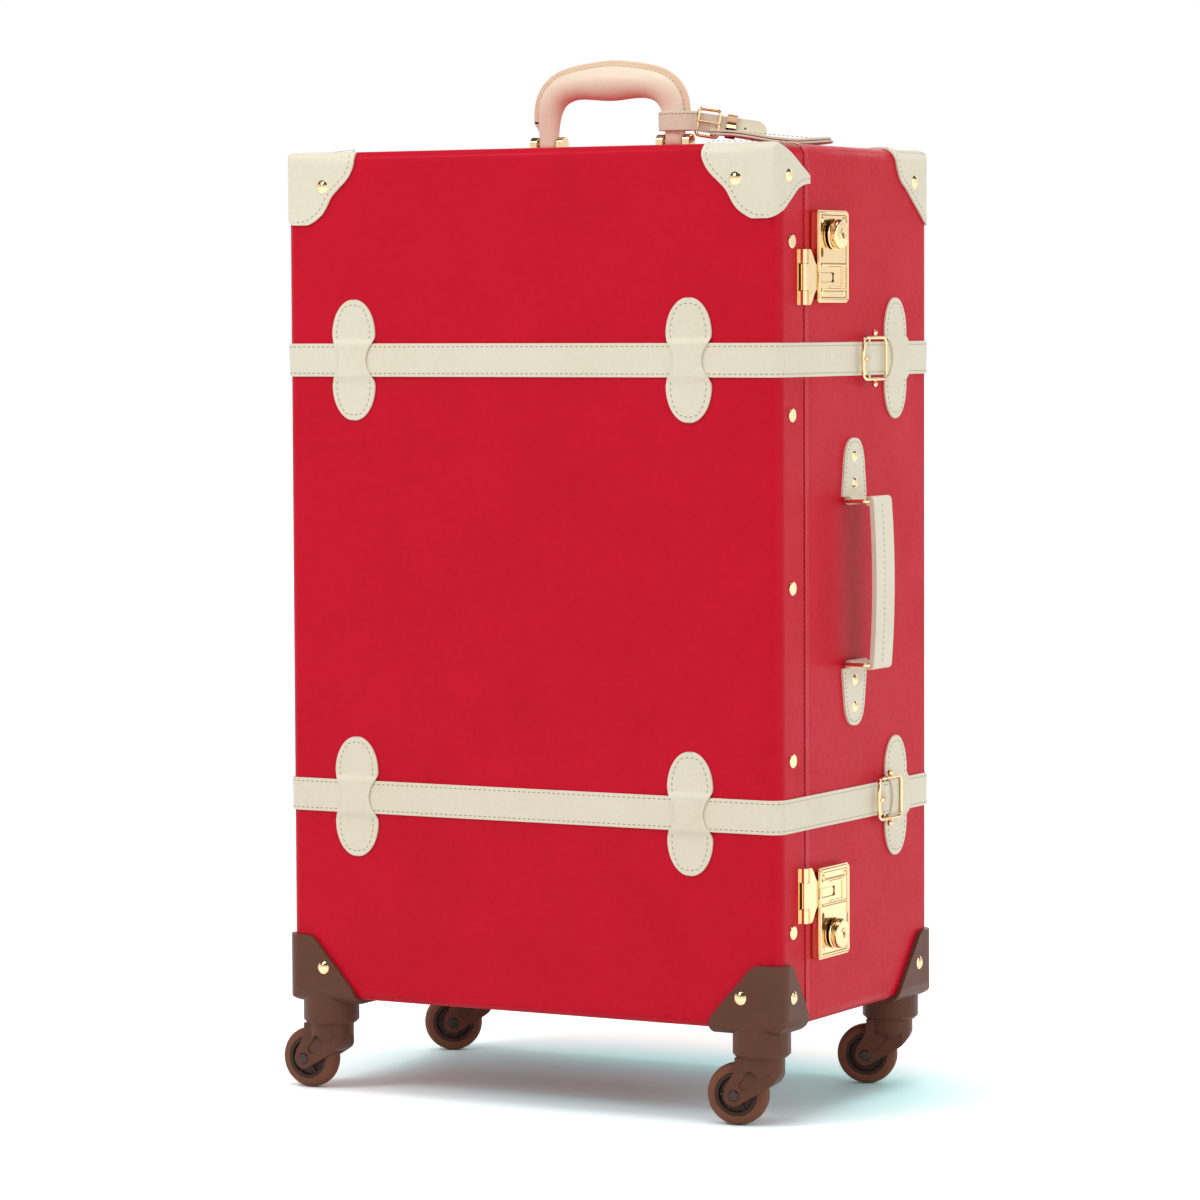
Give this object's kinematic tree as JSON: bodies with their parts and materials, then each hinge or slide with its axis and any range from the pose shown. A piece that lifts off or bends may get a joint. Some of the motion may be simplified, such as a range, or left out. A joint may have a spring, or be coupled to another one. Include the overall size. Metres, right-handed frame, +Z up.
{
  "type": "spinner suitcase",
  "caption": "Upright hard-sided trunk-style suitcase with a hinged lid, buckled wrap-round straps, hasp locks, carry handles, a telescoping trolley and swivel casters.",
  "frame": {"origin": "on the floor, straight below the middle of the case body", "axes": "+Z up, +X towards the side with the locks and the side handle, -Y towards the broad lid face"},
  "size_m": [0.4817, 0.2756, 0.8175],
  "materials": {
    "red_leather": "pebbled leather over board",
    "cream_leather": "smooth leather, stitched edges",
    "peach_leather": "smooth padded leather",
    "gold_metal": "polished pale gold plating",
    "brown_plastic": "glossy moulded nylon",
    "brown_tyre": "satin polyurethane",
    "dark_steel": "brushed",
    "aluminium": "anodised",
    "lining_cloth": "woven cotton",
    "cover_board": "cloth over board",
    "black_plastic": "fine texture",
    "grey_button": "satin"
  },
  "bodies": {
    "base": {"base_shell": "red_leather", "base_lining": "lining_cloth", "base_rim": "aluminium", "trolley_cover": "cover_board", "hinge_base_leaves": "gold_metal", "base_corner_caps": "cream_leather", "base_foot_guards": "brown_plastic", "base_straps": "cream_leather", "strap_bends": "cream_leather", "base_strap_loops": "cream_leather", "buckle_frames": "gold_metal", "lock_cases": "gold_metal", "side_handle_tabs": "cream_leather", "top_handle_brackets": "gold_metal", "trolley_cup": "black_plastic", "trolley_outer_tubes": "aluminium", "side_feet": "gold_metal", "base_fasteners": "gold_metal", "tag_body": "cream_leather", "tag_strap": "cream_leather", "tag_buckle": "gold_metal"},
    "lid": {"lid_shell": "red_leather", "lid_lining": "lining_cloth", "hinge_lid_leaves": "gold_metal", "lid_corner_caps": "cream_leather", "lid_foot_guards": "brown_plastic", "lid_straps": "cream_leather", "strap_tails": "cream_leather", "lid_strap_loops": "cream_leather", "hasp_plates": "gold_metal", "lid_fasteners": "gold_metal"},
    "hasp_upper": {"hasp_upper": "gold_metal"},
    "hasp_lower": {"hasp_lower": "gold_metal"},
    "prong_upper": {"buckle_prong_upper": "gold_metal"},
    "prong_lower": {"buckle_prong_lower": "gold_metal"},
    "knob_upper": {"lock_knob_upper": "gold_metal"},
    "knob_lower": {"lock_knob_lower": "gold_metal"},
    "side_ring_upper": {"side_ring_upper": "gold_metal"},
    "side_ring_lower": {"side_ring_lower": "gold_metal"},
    "side_grip": {"side_handle_grip": "cream_leather"},
    "top_handle": {"top_handle_grip": "peach_leather"},
    "trolley": {"trolley_inner_tubes": "aluminium", "trolley_grip": "black_plastic"},
    "trolley_button": {"trolley_button": "grey_button"},
    "fork_front_left": {"fork_front_left": "brown_plastic", "axle_front_left": "dark_steel"},
    "wheel_front_left": {"hub_front_left": "brown_plastic", "tyre_front_left": "brown_tyre"},
    "fork_front_right": {"fork_front_right": "brown_plastic", "axle_front_right": "dark_steel"},
    "wheel_front_right": {"hub_front_right": "brown_plastic", "tyre_front_right": "brown_tyre"},
    "fork_rear_left": {"fork_rear_left": "brown_plastic", "axle_rear_left": "dark_steel"},
    "wheel_rear_left": {"hub_rear_left": "brown_plastic", "tyre_rear_left": "brown_tyre"},
    "fork_rear_right": {"fork_rear_right": "brown_plastic", "axle_rear_right": "dark_steel"},
    "wheel_rear_right": {"hub_rear_right": "brown_plastic", "tyre_rear_right": "brown_tyre"}
  },
  "joints": [
    {"name": "lid_hinge", "type": "hinge", "parent": "base", "child": "lid", "pos_m": [-0.2216, -0.0815, 0.4095], "axis": [0, 0, -1], "range_deg": [0, 105], "deforming": ["strap_tails", "strap_bends"]},
    {"name": "hasp_upper_swing", "type": "hinge", "parent": "lid", "child": "hasp_upper", "pos_m": [0.222, -0.097, 0.6437], "axis": [0, 0, -1], "range_deg": [0, 135]},
    {"name": "hasp_lower_swing", "type": "hinge", "parent": "lid", "child": "hasp_lower", "pos_m": [0.222, -0.097, 0.1753], "axis": [0, 0, -1], "range_deg": [0, 135]},
    {"name": "knob_upper_slide", "type": "slide", "parent": "base", "child": "knob_upper", "axis": [0, 1, 0], "range_m": [0, 0.005], "stiffness_N_per_m": 400, "springref_m": -0.002},
    {"name": "knob_lower_slide", "type": "slide", "parent": "base", "child": "knob_lower", "axis": [0, 1, 0], "range_m": [0, 0.005], "stiffness_N_per_m": 400, "springref_m": -0.002},
    {"name": "prong_upper_swing", "type": "hinge", "parent": "base", "child": "prong_upper", "pos_m": [0.2201, 0.019, 0.5815], "axis": [0, 0, 1], "range_deg": [0, 110]},
    {"name": "prong_lower_swing", "type": "hinge", "parent": "base", "child": "prong_lower", "pos_m": [0.2201, 0.046, 0.2375], "axis": [0, 0, 1], "range_deg": [0, 110]},
    {"name": "side_ring_upper_swing", "type": "hinge", "parent": "base", "child": "side_ring_upper", "pos_m": [0.2214, -0.006, 0.4725], "axis": [0, 1, 0], "range_deg": [-65, 65]},
    {"name": "side_ring_lower_swing", "type": "hinge", "parent": "base", "child": "side_ring_lower", "pos_m": [0.2214, -0.006, 0.3465], "axis": [0, 1, 0], "range_deg": [-65, 65]},
    {"name": "side_grip_fold", "type": "hinge", "parent": "side_ring_upper", "child": "side_grip", "pos_m": [0.2399, -0.006, 0.4725], "axis": [0, 1, 0], "range_deg": [-65, 65]},
    {"name": "top_handle_swing", "type": "hinge", "parent": "base", "child": "top_handle", "pos_m": [0, 0.007, 0.7525], "axis": [1, 0, 0], "range_deg": [-80, 80], "deforming": ["tag_strap"]},
    {"name": "trolley_slide", "type": "slide", "parent": "base", "child": "trolley", "axis": [0, 0, 1], "range_m": [0, 0.4]},
    {"name": "trolley_button_press", "type": "slide", "parent": "trolley", "child": "trolley_button", "axis": [0, 0, -1], "range_m": [0, 0.0025], "stiffness_N_per_m": 600, "springref_m": -0.001},
    {"name": "swivel_front_left", "type": "hinge", "parent": "lid", "child": "fork_front_left", "pos_m": [-0.193, -0.113, 0.053], "axis": [0, 0, 1], "continuous": true},
    {"name": "wheel_front_left", "type": "hinge", "parent": "fork_front_left", "child": "wheel_front_left", "pos_m": [-0.2115, -0.113, 0.024], "axis": [0, 1, 0], "continuous": true},
    {"name": "swivel_front_right", "type": "hinge", "parent": "lid", "child": "fork_front_right", "pos_m": [0.193, -0.113, 0.053], "axis": [0, 0, 1], "continuous": true},
    {"name": "wheel_front_right", "type": "hinge", "parent": "fork_front_right", "child": "wheel_front_right", "pos_m": [0.17478, -0.11621, 0.024], "axis": [-0.1736, 0.9848, 0], "continuous": true},
    {"name": "swivel_rear_left", "type": "hinge", "parent": "base", "child": "fork_rear_left", "pos_m": [-0.193, 0.113, 0.053], "axis": [0, 0, 1], "continuous": true},
    {"name": "wheel_rear_left", "type": "hinge", "parent": "fork_rear_left", "child": "wheel_rear_left", "pos_m": [-0.20902, 0.10375, 0.024], "axis": [-0.5, 0.866, 0], "continuous": true},
    {"name": "swivel_rear_right", "type": "hinge", "parent": "base", "child": "fork_rear_right", "pos_m": [0.193, 0.113, 0.053], "axis": [0, 0, 1], "continuous": true},
    {"name": "wheel_rear_right", "type": "hinge", "parent": "fork_rear_right", "child": "wheel_rear_right", "pos_m": [0.17541, 0.10728, 0.024], "axis": [-0.309, 0.9511, 0], "continuous": true}
  ],
  "couplings": [
    {"joint": "side_ring_lower_swing", "follows": "side_ring_upper_swing", "ratio": 1},
    {"joint": "side_grip_fold", "follows": "side_ring_upper_swing", "ratio": -1}
  ]
}
